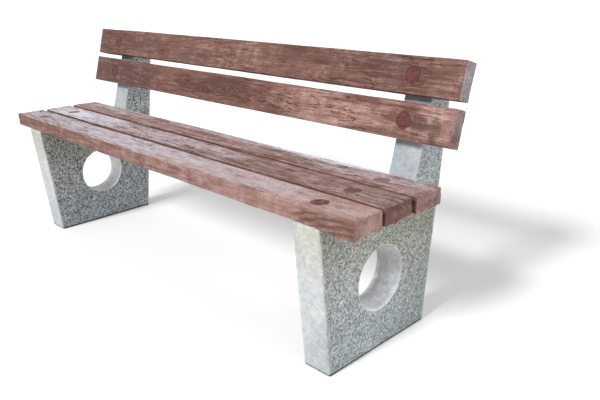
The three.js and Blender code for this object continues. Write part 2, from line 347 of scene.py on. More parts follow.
def plank_relief(place, grain, seed, roughness, ridges, streaks):
    """Height over the smooth block in metres, darkness from 0 to 1 of grooves, splits and pits with painted
    shade in the furrows, and nearness to an end from 0 to 1.
    Height = 2.4 mm of slow swell, less grooves where fine grain noise is high, less splits where long
    grain noise crosses its middle value inside patches, less ridges and air pits; at the ends it gives way
    to round, rough noise. The weights are in millimetres."""
    end = ease(LENGTH / 2 - 9 * MM, LENGTH / 2 - MM, np.abs(place[:, 0]))
    groove = ease(0.5, 0.74, layered_noise(grain, (0.085, 0.0048, 0.0048), seed, 3))
    long_noise = layered_noise(grain, (0.36, 0.017, 0.017), seed + 5, 2)
    patches = ease(0.46, 0.7, layered_noise(place, (0.26, 0.05, 0.05), seed + 9, 2))
    split = np.clip(1 - np.abs(long_noise - 0.5) / 0.055, 0, 1) * patches
    swell = layered_noise(place, (0.24, 0.09, 0.09), seed + 21, 3) - 0.5
    rough = layered_noise(place, (0.016, 0.012, 0.012), seed + 31, 3) - 0.5
    pits = air_pits(place, seed + 90)
    furrow = ridges(place)
    groove, split = groove * streaks, split * streaks
    height = (2.4 * swell - 0.6 * groove - 1.1 * split) * (1 - end) + roughness * 2.4 * rough * end
    height -= 1.8 * pits + 3.5 * furrow
    # Darkness of grooves, splits and pits, and painted shade in the furrows.
    dark = (0.5 * groove + 0.6 * split) * (1 - end) + pits + 0.65 * furrow
    return height * MM, np.clip(dark, 0, 1), end


def worn_arris(block, seed, roughness):
    """Arris radius: 1.3 to 6 mm, with its own slow noise on each of the four long edges, and chips of up
    to 4 mm more in the last 30 mm at the ends."""
    edge = seed + 40 + 2 * (block[:, 1] > 0) + 4 * (block[:, 2] > 0)
    worn = np.zeros(len(block))
    for one in np.unique(edge):
        mine = edge == one
        worn[mine] = layered_noise(block[mine], (0.11, 0.3, 0.3), int(one), 3)
    at_end = ease(LENGTH / 2 - 30 * MM, LENGTH / 2, np.abs(block[:, 0]))
    chips = ease(0.45, 0.8, layered_noise(block, (0.022, 0.02, 0.02), seed + 60, 2))
    return (1.3 + 5 * worn**2 + roughness * 4 * at_end * chips) * MM


# %% [markdown]
# ## Planks: pockets and fit
#
# Over each bolt the plank has a round pocket, which a mortar plug fills. Lattice points near the pocket's
# rim are pulled onto its circle and those inside go down, so the rim is a true circle on a square lattice.

# %% Pockets and placing
POCKET_GAP = 0.4 * MM
POCKET_FLOOR = 6 * MM
SNAP = 1.05 * MM
END_STRETCH = 60 * MM
SIDE_STRETCH = 20 * MM


def cut_pockets(place, on_top):
    """Points on the top face within 1 mm of the pocket's circle move onto it; those inside go 6 mm down."""
    rim = PLUG_RADIUS + POCKET_GAP
    for side in (-1, 1):
        ahead, aside = place[:, 0] - side * BOLT_X, place[:, 1]
        away = np.maximum(np.hypot(ahead, aside), MM)
        near = on_top & (np.abs(away - rim) <= SNAP)
        pull = np.where(near, rim / away, 1)
        place[:, 0] = side * BOLT_X + ahead * pull
        place[:, 1] = aside * pull
        place[:, 2] -= POCKET_FLOOR * (on_top & (away < rim - SNAP))


def plank_shape(own):
    """A plank in its own directions with its underside at 0. Each lattice point is clamped into an inner
    block, and the step from there is brought to the arris radius, which rounds the edges; relief is added
    along that step. The ends are then drawn out by the reach at left and right, the long sides by wider at
    the front and rear, growing towards the right, and the bend is added."""
    seed, roughness = own["seed"], own["roughness"]
    block, quads = box_skin(ALONG_LINES, ACROSS_LINES, THROUGH_LINES)
    half = PLANK_SIZE / 2
    arris = worn_arris(block, seed, roughness)[:, None]
    inner = np.clip(block, arris - half, half - arris)
    step = block - inner
    outward = step / np.linalg.norm(step, axis=1, keepdims=True)
    smooth = inner + outward * arris
    grain = grain_lines(smooth, own["knots"], seed)
    at_left, at_right = own["streaky"]
    streaks = at_left + (at_right - at_left) * (smooth[:, 0] / LENGTH + 0.5)
    height, groove, end = plank_relief(smooth, grain, seed, roughness, own["ridges"], streaks)
    place = smooth + outward * height[:, None]
    cut_pockets(place, outward[:, 2] > 0.9)
    for side, extra in zip((-1, 1), own["reach"]):
        place[:, 0] += side * extra * MM * ease(LENGTH / 2 - END_STRETCH, LENGTH / 2, side * block[:, 0])
    rightward = 0.2 + 0.8 * ease(-0.4, 0.8, block[:, 0])
    for side, extra in zip((-1, 1), own["wider"]):
        spread = rightward * ease(WIDTH / 2 - SIDE_STRETCH, WIDTH / 2, side * block[:, 1])
        place[:, 1] += side * extra * MM * spread
    place += own["bend"](smooth)
    place[:, 2] += THICKNESS / 2
    return place, quads, smooth, outward, grain, groove, end, streaks


# %% [markdown]
# ## Planks: where the weather has been
#
# Rain draws lime salts out of the seat, where water stands longest. They dry as a lilac-white bloom.
# The back has dark damp blotches. Both are laid down as soft patches with ragged edges, and their
# strength is stored on the mesh. Each patch is (along, across, half length, half width, strength), with
# the lengths in millimetres from the plank's middle.


# %% Weather patches
def patchy(smooth, patches, seed):
    """The strongest of the patches at each point: each is an ellipse whose edge is broken by noise that is
    longer along the plank, and it fades over a third of its size."""
    ragged = layered_noise(smooth, (0.05, 0.012, 0.02), seed, 4) - 0.5
    field = np.zeros(len(smooth))
    for along, across, half_length, half_width, strength in patches:
        away = np.hypot(
            (smooth[:, 0] - along * MM) / (half_length * MM),
            (smooth[:, 1] - across * MM) / (half_width * MM),
        )
        field = np.maximum(field, strength * ease(1.35, 0.65, away + 1.1 * ragged))
    return field


# %% [markdown]
# ## Material: cast concrete that looks like timber
#
# The planks are cement mortar with brown and red iron-oxide pigment, cast in a textured mould and left
# dull. The eye sees a chalky terracotta brown with dark lines in the grooves, lighter worn edges, a
# salt bloom on top and no shine. Mortar is not a metal, its roughness is near 0.9 and its IOR about 1.5.
#
# Grain streaks are 2 to 5 mm wide and up to 90 mm long. Sand grains are 0.3 mm wide in the real mortar,
# too fine to show, so the speckle is drawn at 2 mm.

# %% Timber-look concrete
# The stain colour also paints shade on the plank sides in the gaps.
EARTH = palette(brown="#6f5047", pale="#ae8b81", dark="#43231f", stain="#553b34", bloom="#cfcdd8")


def grain_noise(tree, grain, along, across, detail, roughness):
    """Noise drawn out along the grain; along and across are the sizes of its marks in metres."""
    stretched = add_node(tree, "Mapping", Vector=grain, Scale=(1 / along, 1 / across, 1 / across))
    return add_node(tree, "TexNoise", Vector=stretched, Scale=1, Detail=detail, Roughness=roughness)


def weighted(tree, *parts):
    """A sum of outputs, each times its weight."""
    total = 0.0
    for output, weight in parts:
        total = add_node(tree, "Math", output, weight, total, operation="MULTIPLY_ADD")
    return total


def timber_look_concrete():
    """Brown to pale by bands of grain, then dark lines, stains with painted shade in the gaps, bloom and
    sand, each laid over the last.
    """
    material, tree, shader = new_material(
        "timber_look_cast_concrete", Roughness=0.92, IOR=1.5, Specular_IOR_Level=0.25
    )
    add = functools.partial(add_node, tree)
    grain = add("Attribute", attribute_name="grain").node.outputs["Vector"]
    weather = add("Attribute", attribute_name="weather")
    bloom, stain, tone = add("SeparateColor", weather).node.outputs
    groove = weather.node.outputs["Alpha"]
    surface = add("Attribute", attribute_name="surface").node.outputs["Vector"]
    narrow_side, streaks, _ = add("SeparateXYZ", surface).node.outputs
    place = add("TexCoord").node.outputs["Object"]

    fibre = grain_noise(tree, grain, 45 * MM, 2.2 * MM, 6, 0.7)
    band = grain_noise(tree, grain, 160 * MM, 15 * MM, 5, 0.65)
    crack_line = grain_noise(tree, grain, 110 * MM, 11 * MM, 3, 0.55)
    crack_patch = grain_noise(tree, grain, 260 * MM, 60 * MM, 3, 0.6)
    cloud = add("TexNoise", Vector=place, Scale=22, Detail=7, Roughness=0.65)
    speck = add("TexNoise", Vector=place, Scale=420, Detail=3, Roughness=0.7)

    mottled = weighted(tree, (band, 0.4), (cloud, 0.35), (fibre, 0.25), (tone, 1))
    earth = add("Mix", add("MapRange", mottled, 0.89, 1.13), EARTH["brown"], EARTH["pale"], **OVER)
    off_line = add("Math", add("Math", crack_line, 0.5, operation="SUBTRACT"), operation="ABSOLUTE")
    on_line = add("MapRange", off_line, 0.008, 0.03, 1, 0)
    crack = add("Math", on_line, add("MapRange", crack_patch, 0.45, 0.6), operation="MULTIPLY")
    lines = weighted(tree, (add("MapRange", fibre, 0.53, 0.64), 0.7), (crack, 0.85))
    lines = add("Math", lines, add("MapRange", narrow_side, 0, 1, 1, 0.45), operation="MULTIPLY")
    lines = add("Math", lines, streaks, operation="MULTIPLY")
    # The groove channel carries darkness of grooves, splits and pits and the painted shade of the furrows.
    lines = weighted(tree, (lines, 1), (groove, 0.65))
    earth = add("Mix", lines, earth, EARTH["dark"], **OVER)
    # Stain, with painted shade on the plank sides in the gaps.
    stain_and_gap_shade = weighted(tree, (stain, 1), (cloud, 0.5), (band, 0.4))
    earth = add("Mix", add("MapRange", stain_and_gap_shade, 0.5, 1.4, 0, 0.85), earth, EARTH["stain"], **OVER)
    salt = weighted(tree, (bloom, 1), (speck, 0.4), (cloud, 0.5), (lines, -0.8))
    earth = add("Mix", add("MapRange", salt, 0.45, 1.35), earth, EARTH["bloom"], **OVER)
    grit = add("Mix", 1, earth, add("MapRange", speck, 0.35, 0.65, 0.6, 1.4), **THROUGH)
    tree.links.new(grit, shader.inputs["Base Color"])

    fine = weighted(tree, (lines, -1), (speck, 0.35))
    bump = add("Bump", Height=fine, Strength=0.6, Distance=1.2 * MM)
    tree.links.new(bump, shader.inputs["Normal"])
    return material


TIMBER_LOOK = timber_look_concrete()

# %% [markdown]
# ## Planks: how the five differ
#
# All five come from the same mould, but knots, chips and weather differ, and none came out or was laid
# quite as drawn. Some are a few millimetres longer or wider, the front one's right corner hangs, the upper
# back one sags at its left end, and the mould pressed curved furrows into the front one's right end.


# %% Bends and furrows
def straight(smooth):
    return np.zeros((len(smooth), 3))


def heavy_corner(smooth):
    """The underside of the front plank's right front corner hangs up to 5 mm lower than drawn."""
    bend = straight(smooth)
    corner = ease(0.72, 0.9, smooth[:, 0]) * ease(0, 0.03, -smooth[:, 1])
    bend[:, 2] = -5 * MM * corner * (smooth[:, 2] < 0)
    return bend


def slack_left_end(smooth):
    """The upper back plank's left end sags 2.5 mm."""
    bend = straight(smooth)
    bend[:, 1] = -2.5 * MM * ease(0.6, 0.9, -smooth[:, 0])
    return bend


def no_ridges(smooth):
    return np.zeros(len(smooth))


def ringed_ridges(smooth):
    """Furrows 12 mm apart that curve round a point below the right front corner. They follow the sine of
    the distance to it, drawn out along the plank, and fade towards the left and the top."""
    ahead, up = smooth[:, 0] - 0.93, smooth[:, 2] + 0.045
    wobble = 0.004 * layered_noise(smooth, (0.05, 0.05, 0.05), 5, 2)
    rings = np.sin(2 * math.pi * (np.hypot(ahead * 0.28, up) + wobble) / (12 * MM))
    on_front = ease(0.85, 0.98, -smooth[:, 1] / (WIDTH / 2))
    fade = ease(0.66, 0.76, smooth[:, 0]) * ease(0.02, 0.008, smooth[:, 2])
    return ease(0.1, 0.9, rings) * on_front * fade


# %% [markdown]
# Each plank has a set of values. Pairs are for its left and right ends (reach, streaky, tone) or its front
# and rear sides (wider, sides). Sides is stain on an open side and painted shade on a side that faces a
# neighbouring plank across a gap. Lengths are in millimetres, but knots are in metres: along, across and
# radius. Strengths go from 0 for none to about 1.

# %% Values of the five planks
AS_DRAWN = dict(
    turn=SEAT_TURN, reach=(0, 0), wider=(0, 0), bend=straight, ridges=no_ridges,
    sides=(0, 0), end=0, end_dust=0, bloom=[], pale=[], stain=[],
)
PLANKS = {
    "seat_plank_front": dict(
        seed=11, roughness=1.0, wider=(0, 4.5), bend=heavy_corner, ridges=ringed_ridges,
        streaky=(1.05, 0.25), tone=(0.48, 0.58), dust=0.08, sides=(0.2, 1.1), end=0.1,
        knots=[(-0.42, 0.012, 0.013), (0.31, -0.02, 0.011)],
        bloom=[
            (-650, 0, 420, 70, 0.55),
            (-200, 8, 480, 60, 0.62),
            (350, 8, 420, 52, 0.38),
            (760, 5, 160, 36, 0.15),
        ],
        stain=[(560, -40, 60, 12, 0.5), (850, -50, 90, 8, 0.5)],
    ),
    "seat_plank_middle": dict(
        seed=23, roughness=1.2, wider=(3.5, 3.5),
        streaky=(0.9, 0.75), tone=(0.58, 0.47), dust=0.13, sides=(1.2, 1.2), end=0.6,
        knots=[(0.05, -0.015, 0.014), (0.52, 0.02, 0.01)],
        bloom=[(-690, 0, 130, 40, 1.3), (-640, 0, 330, 70, 0.75), (-50, 0, 380, 60, 0.45)],
        stain=[(450, 0, 120, 30, 0.3), (892, 0, 8, 60, 0.6)],
    ),
    "seat_plank_rear": dict(
        seed=37, roughness=1.1, reach=(0, 4), wider=(4.5, 0),
        streaky=(1.0, 0.9), tone=(0.56, 0.52), dust=0.16, sides=(1.2, 0.2), end_dust=0.1,
        knots=[(-0.25, 0.01, 0.012), (0.62, -0.01, 0.012)],
        bloom=[
            (-600, 20, 300, 40, 0.4),
            (50, 34, 420, 20, 0.45),
            (480, 44, 200, 16, 1.1),
            (640, 16, 220, 50, 0.45),
        ],
        stain=[(-560, -20, 120, 20, 0.5), (892, 0, 8, 60, 0.6)],
    ),
    "back_plank_lower": dict(
        seed=51, turn=BACK_TURN, roughness=0.4, reach=(7, 6),
        streaky=(0.9, 1.0), tone=(0.0, 0.48), dust=0.02, end_dust=0.2,
        knots=[(-0.12, -0.01, 0.016), (0.4, 0.015, 0.014)],
        bloom=[(838, 26, 40, 22, 0.12)],
        pale=[(430, 0, 260, 70, 0.16), (838, 26, 40, 22, 0.14)],
        stain=[
            (-720, 0, 260, 70, 0.95),
            (-560, -20, 120, 30, 0.75),
            (-30, 12, 150, 34, 1.0),
            (-250, 14, 70, 24, 0.75),
            (802, -4, 34, 26, 1.0),
            (850, -12, 16, 50, 0.8),
        ],
    ),
    "back_plank_upper": dict(
        seed=67, turn=BACK_TURN, roughness=0.5, reach=(8, 6), bend=slack_left_end,
        streaky=(0.9, 1.0), tone=(0.23, 0.42), dust=0.02, end_dust=0.38,
        knots=[(-0.55, 0.01, 0.014), (0.15, -0.012, 0.015)],
        pale=[(-40, 0, 260, 60, 0.1)],
        stain=[
            (-800, 0, 160, 60, 0.5),
            (-500, 0, 160, 26, 0.6),
            (-200, -20, 120, 24, 0.6),
            (380, 30, 140, 20, 0.6),
            (560, 20, 100, 24, 0.3),
            (700, 6, 150, 34, 0.65),
        ],
    ),
}
PLANKS = {node: {**AS_DRAWN, **own} for node, own in PLANKS.items()}
print(len(PLANKS), "planks")

# %% [markdown]
# ## Planks: making the five
#
# Bloom lies on faces that look up, stains lie in patches, on long sides and at ends, and worn arrises are
# pale. On a long side that faces a neighbouring plank the stain is painted shade in the gap, and fronts and
# undersides are toned darker as painted shade. So the strengths come from the patches and from where each
# point of the surface faces. They are stored on the mesh, and one material reads them on all five planks.


# %% The five planks
def weathering(own, smooth, outward, end, groove):
    """Strength of bloom, stain, tone and groove at each point. The first two are each the strongest of
    their causes; stain on a side that faces a neighbouring plank is painted shade in the gap. Tone goes
    evenly from the left end's value to the right end's, with 0.12 more on worn arrises and less at the
    ends. It is lower below and in front, as painted shade."""
    on_front = ease(0.5, 0.9, -outward[:, 1])
    on_end = ease(0.5, 0.95, np.abs(outward[:, 0]))
    on_top = ease(0.55, 0.95, outward[:, 2])
    bloom = np.maximum(patchy(smooth, own["bloom"], own["seed"] + 70), own["dust"]) * on_top
    bloom = np.max([bloom, own["end_dust"] * on_end, 0.05 * on_front], axis=0)
    # Stain on the long sides: light on an open side, strong on a side that faces a neighbouring plank,
    # where it is painted shade in the gap.
    front, rear = (own["sides"][n] * ease(0.55, 0.9, way * outward[:, 1]) for n, way in enumerate((-1, 1)))
    at_end = own["end"] * end * (0.3 + 1.1 * ease(0, 16 * MM, smooth[:, 2]))
    stain = np.max([patchy(smooth, own["stain"], own["seed"] + 80), at_end, front, rear], axis=0)
    at_left, at_right = own["tone"]
    tone = at_left + (at_right - at_left) * (smooth[:, 0] / LENGTH + 0.5)
    tone += 0.12 * ease(0.75, 0.6, np.abs(outward).max(1)) - 0.05 * end
    # Painted shade: undersides and front faces toned darker.
    tone -= 0.15 * ease(-0.3, -0.9, outward[:, 2]) + 0.1 * on_front
    tone += patchy(smooth, own["pale"], own["seed"] + 75)
    return np.stack([bloom, stain, tone, groove], 1)


def place_in_bench(place, node, turn):
    """Turns the plank's own directions into the bench's and puts its middle on the CAD plank's middle."""
    centred = place - np.array([0, 0, THICKNESS / 2])
    return centred @ turn + middle_of(node)


for node, own in PLANKS.items():
    place, quads, smooth, outward, grain, groove, end, streaks = plank_shape(own)
    on_side = ease(0.4, 0.9, np.abs(outward[:, 1]))
    plank = make_piece(
        node + "_cast",
        place_in_bench(place, node, own["turn"]),
        quads,
        TIMBER_LOOK,
        vectors={
            "grain": grain + own["seed"] * 0.37,
            "surface": np.stack([on_side, streaks, 0 * streaks], 1),
        },
        colours={"weather": weathering(own, smooth, outward, end, groove)},
    )
    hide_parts(node)
    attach(plank, "root")

# %% [markdown]
# ## Mortar plugs: material
#
# The pockets are filled with a red-brown mortar, struck off by hand and smeared with the pale dust of the
# seat. The smears follow soft clouds 15 mm wide. Mortar of this kind is matt, with roughness 0.85 and IOR
# 1.5. Its sand is too fine to show, and is drawn 2 mm wide.

# %% Plug material
MORTAR = palette(red="#643335", dull="#553635", dark="#2c1618", smear="#b08b8e")


def plug_mortar():
    """Two reds in clouds, dark in the scratches, painted shade at the rim, then smears and sand."""
    material, tree, shader = new_material(
        "hand_struck_oxide_mortar", Roughness=0.85, IOR=1.5, Specular_IOR_Level=0.3
    )
    add = functools.partial(add_node, tree)
    place = add("TexCoord").node.outputs["Object"]
    struck = add("Attribute", attribute_name="struck")
    scratch, rim, smear = add("SeparateColor", struck).node.outputs
    cloud = add("TexNoise", Vector=place, Scale=60, Detail=5, Roughness=0.6)
    speck = add("TexNoise", Vector=place, Scale=500, Detail=2, Roughness=0.6)

    mortar = add("Mix", add("MapRange", cloud, 0.35, 0.65), MORTAR["red"], MORTAR["dull"], **OVER)
    in_scratch = add("Math", scratch, 0.9, operation="MULTIPLY")
    # Painted shade of the ring gap at the plug's rim.
    rim_painted_shade = add("Math", rim, 0.8, operation="MULTIPLY")
    dark = add("Math", in_scratch, rim_painted_shade, operation="MAXIMUM")
    mortar = add("Mix", dark, mortar, MORTAR["dark"], **OVER)
    smeared = weighted(tree, (smear, 1), (cloud, 1))
    mortar = add("Mix", add("MapRange", smeared, 0.6, 1.4), mortar, MORTAR["smear"], **OVER)
    grit = add("Mix", 1, mortar, add("MapRange", speck, 0.3, 0.7, 0.85, 1.15), **THROUGH)
    tree.links.new(grit, shader.inputs["Base Color"])
    bump = add("Bump", Height=speck, Strength=0.4, Distance=0.6 * MM)
    tree.links.new(bump, shader.inputs["Normal"])
    return material


MORTAR_SKIN = plug_mortar()

# %% [markdown]
# ## Mortar plugs: shape
#
# A trowel drawn over wet mortar drags sand along and leaves a few scratches in one direction. A plug is a
# lattice block whose square is drawn into a disc, which leaves no pole and no seam.

# %% Plug shape
PLUG_LINES = np.linspace(-1, 1, 37)
PLUG_DEPTH = 5 * MM


def plug_shape(seed, slant):
    """A disc made from a square: x' = x * sqrt(1 - y^2 / 2) and y' likewise, with a 1 mm rounded rim and
    tapering below. Scratches 0.9 mm deep run along the slant: a wavering sine every 7.5 mm across it, cut
    into lengths by noise."""
    block, quads = box_skin(PLUG_LINES, PLUG_LINES, np.linspace(0, 1, 4))
    x, y, h = block.T
    flat = np.stack([x * np.sqrt(1 - y**2 / 2), y * np.sqrt(1 - x**2 / 2)], 1)
    away = np.hypot(*flat.T)
    radius = PLUG_RADIUS * (0.93 + 0.07 * h)
    along = (flat[:, 0] * math.cos(slant) + flat[:, 1] * math.sin(slant)) * PLUG_RADIUS
    aside = (flat[:, 1] * math.cos(slant) - flat[:, 0] * math.sin(slant)) * PLUG_RADIUS
    lines = np.stack([along, aside + 5 * along**2, 0 * along], 1)
    waver = 3 * MM * layered_noise(lines, (0.02, 0.006, 1), seed, 2)
    scratch = ease(0.35, 0.9, np.sin(2 * math.pi * (lines[:, 1] + waver) / (7.5 * MM)))
    scratch *= ease(0.36, 0.52, layered_noise(lines, (0.016, 0.007, 1), seed + 1, 2)) * ease(1, 0.85, away)
    rim = ease(0.86, 1, away)
    top = h == 1
    uneven = layered_noise(lines, (0.02, 0.02, 1), seed + 3) - 0.5
    height = -0.5 - 0.9 * rim**2 - 0.9 * scratch + 0.7 * uneven
    z = np.where(top, THICKNESS + height * MM, THICKNESS - PLUG_DEPTH + h * (PLUG_DEPTH - 2 * MM))
    return np.stack([*(flat * radius[:, None]).T, z], 1), quads, scratch * top, rim


# %% The ten plugs
SMEARS = {
    "seat_plank_front_right": 0.15,
    "seat_plank_front_left": 0.4,
    "seat_plank_middle_right": 0.2,
    "seat_plank_middle_left": 0.45,
    "seat_plank_rear_right": 0.42,
    "seat_plank_rear_left": 0.55,
}
for number, (node, side) in enumerate(itertools.product(PLANKS, ("left", "right"))):
    place, quads, scratch, rim = plug_shape(300 + 7 * number, 0.25 + 0.3 * math.sin(number * 2.3))
    place[:, 0] += BOLT_X * (1 if side == "right" else -1)
    smear = np.full(len(place), SMEARS.get(f"{node}_{side}", 0.0))
    plug = make_piece(
        f"{node}_plug_{side}_struck",
        place_in_bench(place, node, PLANKS[node]["turn"]),
        quads,
        MORTAR_SKIN,
        colours={"struck": np.stack([scratch, rim, smear, np.ones(len(place))], 1)},
    )
    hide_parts(f"{node}_plug_{side}")
    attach(plug, "root")

# %% [markdown]
# ## Side frames: outline
#
# A side frame is one casting: a trapezoid leg with a round hole, and a leaning post. Its two broad faces
# are washed before the cement sets, which bares the pebbles. The narrow edges stay smooth, as the mould
# left them. We draw the outline once, as columns of points that later run across the thickness too.

# %% Frame outline
LEG_TOP = 0.422
HOLE_CENTRE = np.array([-0.02838, 0.2125])
CORNER_ROUND = 6 * MM
FAN = 4
POST_ROWS = 100
POST_COLUMNS = 40
OUTLINE = (
    # (y, z) of each corner in metres, counter-clockwise, with the number of steps to the next corner
    ((-0.2342, 0.0), 130),
    ((0.17745, 0.0), 134),
    ((0.2299, LEG_TOP), POST_ROWS),
    ((0.2713, 0.7555), POST_COLUMNS - 2 * FAN),
    ((0.1963, 0.7555), POST_ROWS),
    ((0.09686, LEG_TOP), 116),
    ((-0.2711, LEG_TOP), 134),
)
LEG_REAR_TOP, POST_REAR_TOP, POST_FRONT_TOP, POST_FOOT = 2, 3, 4, 5


def frame_outline():
    """Columns round the outline: a point on the inner outline, which lies 6 mm inside, and the step that
    leads out from it. On an edge the step is the edge's normal. At a convex corner it fans out over four
    columns. At the post's foot the outline turns inwards in front and hardly turns behind, and there the
    step is the mitre of both normals."""
    corners = np.array([corner for corner, _ in OUTLINE])
    ahead = np.roll(corners, -1, axis=0) - corners
    normals = np.stack([ahead[:, 1], -ahead[:, 0]], 1) / np.linalg.norm(ahead, axis=1, keepdims=True)
    before = np.roll(normals, 1, axis=0)
    mitre = (before + normals) / (1 + (before * normals).sum(1, keepdims=True))
    inner = corners - CORNER_ROUND * mitre
    points, steps, starts = [], [], []
    fanned = True
    for i, (_, count) in enumerate(OUTLINE):
        j = (i + 1) % len(OUTLINE)
        starts.append(sum(len(p) for p in points))
        points.append(np.linspace(inner[i], inner[j], count + 1))
        steps.append(np.tile(normals[i], (count + 1, 1)))
        if not fanned:
            steps[-1][0] = mitre[i]
        fanned = normals[i][0] * normals[j][1] - normals[i][1] * normals[j][0] > 0.1
        if fanned:
            t = np.linspace(0, 1, FAN + 1)[1:-1, None]
            fan = normals[i] * (1 - t) + normals[j] * t
            points.append(np.tile(inner[j], (FAN - 1, 1)))
            steps.append(fan / np.linalg.norm(fan, axis=1, keepdims=True))
        else:
            points[-1], steps[-1] = points[-1][:-1], steps[-1][:-1]
    return np.concatenate(points), np.concatenate(steps), starts


INNER, STEPS, STARTS = frame_outline()
FRAME_LOW, FRAME_HIGH = (np.array(corner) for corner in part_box("side_frame_right"))
FRAME_THICKNESS = FRAME_HIGH[0] - FRAME_LOW[0]
print(len(INNER), "columns round the frame, thickness", round(FRAME_THICKNESS, 4))

# %% [markdown]
# ## Side frames: sweep and patches
#
# The outline is swept across the thickness with rounded arrises, and the hole is a circle's sweep of the
# same kind. Each broad face is then filled with two patches: rays from the hole to the leg's outline, and
# a four-sided patch for the post. All of them share their border points, so they weld into one shell.

# %% Sweep and patches
ARRIS = 4 * MM
RAY_POINTS = 42


def cross_profile(arris, step):
    """From one broad face to the other: (x, depth below the edge, share of x in the normal). A quarter
    circle of the arris, evenly spaced steps across, and the same quarter circle back."""
    angle = np.radians(np.linspace(0, 90, 6))
    half = FRAME_THICKNESS / 2
    x = half - arris * (1 - np.cos(angle))
    depth = arris * (1 - np.sin(angle))
    count = round(2 * x[-1] / step)
    across = np.linspace(x[-1], -x[-1], count + 1)[1:-1]
    return (
        np.concatenate([x, across, -x[::-1]]),
        np.concatenate([depth, 0 * across, depth[::-1]]),
        np.concatenate([np.cos(angle), 0 * across, -np.cos(angle)[::-1]]),
    )


def swept(base, steps, reach, profile):
    """Rows of points: the base plus the step times (reach - depth), at the profile's x. The normals turn
    from x to the step as the profile says."""
    x, depth, share = profile
    flat = base[None] + steps[None] * (reach - depth)[:, None, None]
    unit = steps / np.linalg.norm(steps, axis=1, keepdims=True)
    side = np.sqrt(1 - share**2)[:, None, None] * unit[None]
    points = np.concatenate([np.broadcast_to(x[:, None, None], (*flat.shape[:2], 1)), flat], 2)
    normals = np.concatenate([np.broadcast_to(share[:, None, None], (*flat.shape[:2], 1)), side], 2)
    return points, normals


def four_sided_patch(bottom, top, left, right):
    """Coons patch: the blend of bottom and top, plus the blend of left and right, less the blend of the
    four corners."""
    u = np.linspace(0, 1, len(bottom))[None, :, None]
    v = np.linspace(0, 1, len(left))[:, None, None]
    corners = (1 - v) * ((1 - u) * bottom[0] + u * bottom[-1]) + v * ((1 - u) * top[0] + u * top[-1])
    return (1 - v) * bottom + v * top + (1 - u) * left[:, None] + u * right[:, None] - corners


def frame_patches(hole_radius, lip_round):
    """The patches of one frame about x = 0, each with its normals and whether it closes on itself."""
    edge, edge_normals = swept(INNER, STEPS, CORNER_ROUND, cross_profile(ARRIS, 4 * MM))
    rim = edge[0][:, 1:]
    foot_back, foot_front = STARTS[LEG_REAR_TOP], STARTS[POST_FOOT]
    top_back, top_front = STARTS[POST_REAR_TOP] - FAN, STARTS[POST_FRONT_TOP]
    right = rim[foot_back : top_back + 1]
    top = rim[top_back : top_front + 1][::-1]
    left = rim[top_front : foot_front + 1][::-1]
    bottom = np.linspace(rim[foot_front], rim[foot_back], len(top))
    post = four_sided_patch(bottom, top, left, right)
    loop = np.concatenate([rim[: foot_back + 1], bottom[::-1][1:-1], rim[foot_front:]])
    ray = (loop - HOLE_CENTRE) / np.linalg.norm(loop - HOLE_CENTRE, axis=1, keepdims=True)
    hole_base = np.broadcast_to(HOLE_CENTRE, loop.shape)
    hole, hole_normals = swept(hole_base, -ray, -hole_radius, cross_profile(lip_round, 4.5 * MM))
    lip = hole[0][:, 1:]
    t = np.linspace(0, 1, RAY_POINTS)[:, None, None]
    leg = lip * (1 - t) + loop * t
    patches = [(edge, edge_normals, True), (hole, hole_normals, True)]
    for side in (1, -1):
        for patch, closed in ((leg, True), (post, False)):
            flat = np.concatenate([np.full((*patch.shape[:2], 1), side * FRAME_THICKNESS / 2), patch], 2)
            facing = np.zeros_like(flat)
            facing[..., 0] = side
            patches.append((flat, facing, closed))
    return patches


def frame_shell(hole_radius, lip_round):
    """All patches of one frame welded into one shell: points, normals and quads. The quads of a patch are
    turned round if their corners run against its normals."""
    points, normals, quads, offset = [], [], [], 0
    for grid, facing, closed in frame_patches(hole_radius, lip_round):
        faces = grid_quads(*grid.shape[:2], closed)
        points.append(grid.reshape(-1, 3))
        normals.append(facing.reshape(-1, 3))
        a, b, c, d = (points[-1][faces[:, corner]] for corner in range(4))
        outward = (np.cross(c - a, d - b) * normals[-1][faces[:, 0]]).sum() > 0
        quads.append((faces if outward else faces[:, ::-1]) + offset)
        offset += len(points[-1])
    points, normals, quads = (np.concatenate(part) for part in (points, normals, quads))
    _, first, welded = np.unique(
        np.round(points / (1e-3 * MM)).astype(np.int64), axis=0, return_index=True, return_inverse=True
    )
    return points[first], normals[first], welded.reshape(-1)[quads]


# %% [markdown]
# ## Side frames: washed faces and smooth edges
#
# On the broad faces the pebbles stand proud of the cement by a millimetre or so. Cell noise gives them:
# every small cell holds one pebble centre, and a point's height falls with the distance to the nearest
# centre. Near the arrises and round the hole the wash didn't reach, and the skin stays smooth with a
# ragged border. The core that left the hole was drawn out with some force, so its mouths flare.

# %% Pebble relief
PEBBLE = 7 * MM


def nearest_pebble(points, cell, seed):
    """Distance to the nearest of the random centres, one in each cubic cell, in cell sizes."""
    scaled = points / cell
    base = np.floor(scaled).astype(np.int64)
    nearest = np.full(len(points), 9.0)
    for shift in itertools.product((-1, 0, 1), repeat=3):
        own = base + shift
        centre = own + np.stack([lattice_number(*own.T, seed + k) for k in range(3)], 1)
        nearest = np.minimum(nearest, np.linalg.norm(scaled - centre, axis=1))
    return nearest


def edge_distance(points):
    """Distance in the frame's own plane from each point to the nearest edge of the outline."""
    flat = points[:, 1:]
    corners = np.array([corner for corner, _ in OUTLINE])
    nearest = np.full(len(flat), 9.0)
    for start, end in zip(corners, np.roll(corners, -1, axis=0)):
        ahead = end - start
        t = np.clip(((flat - start) @ ahead) / (ahead @ ahead), 0, 1)
        nearest = np.minimum(nearest, np.linalg.norm(flat - start - t[:, None] * ahead, axis=1))
    return nearest


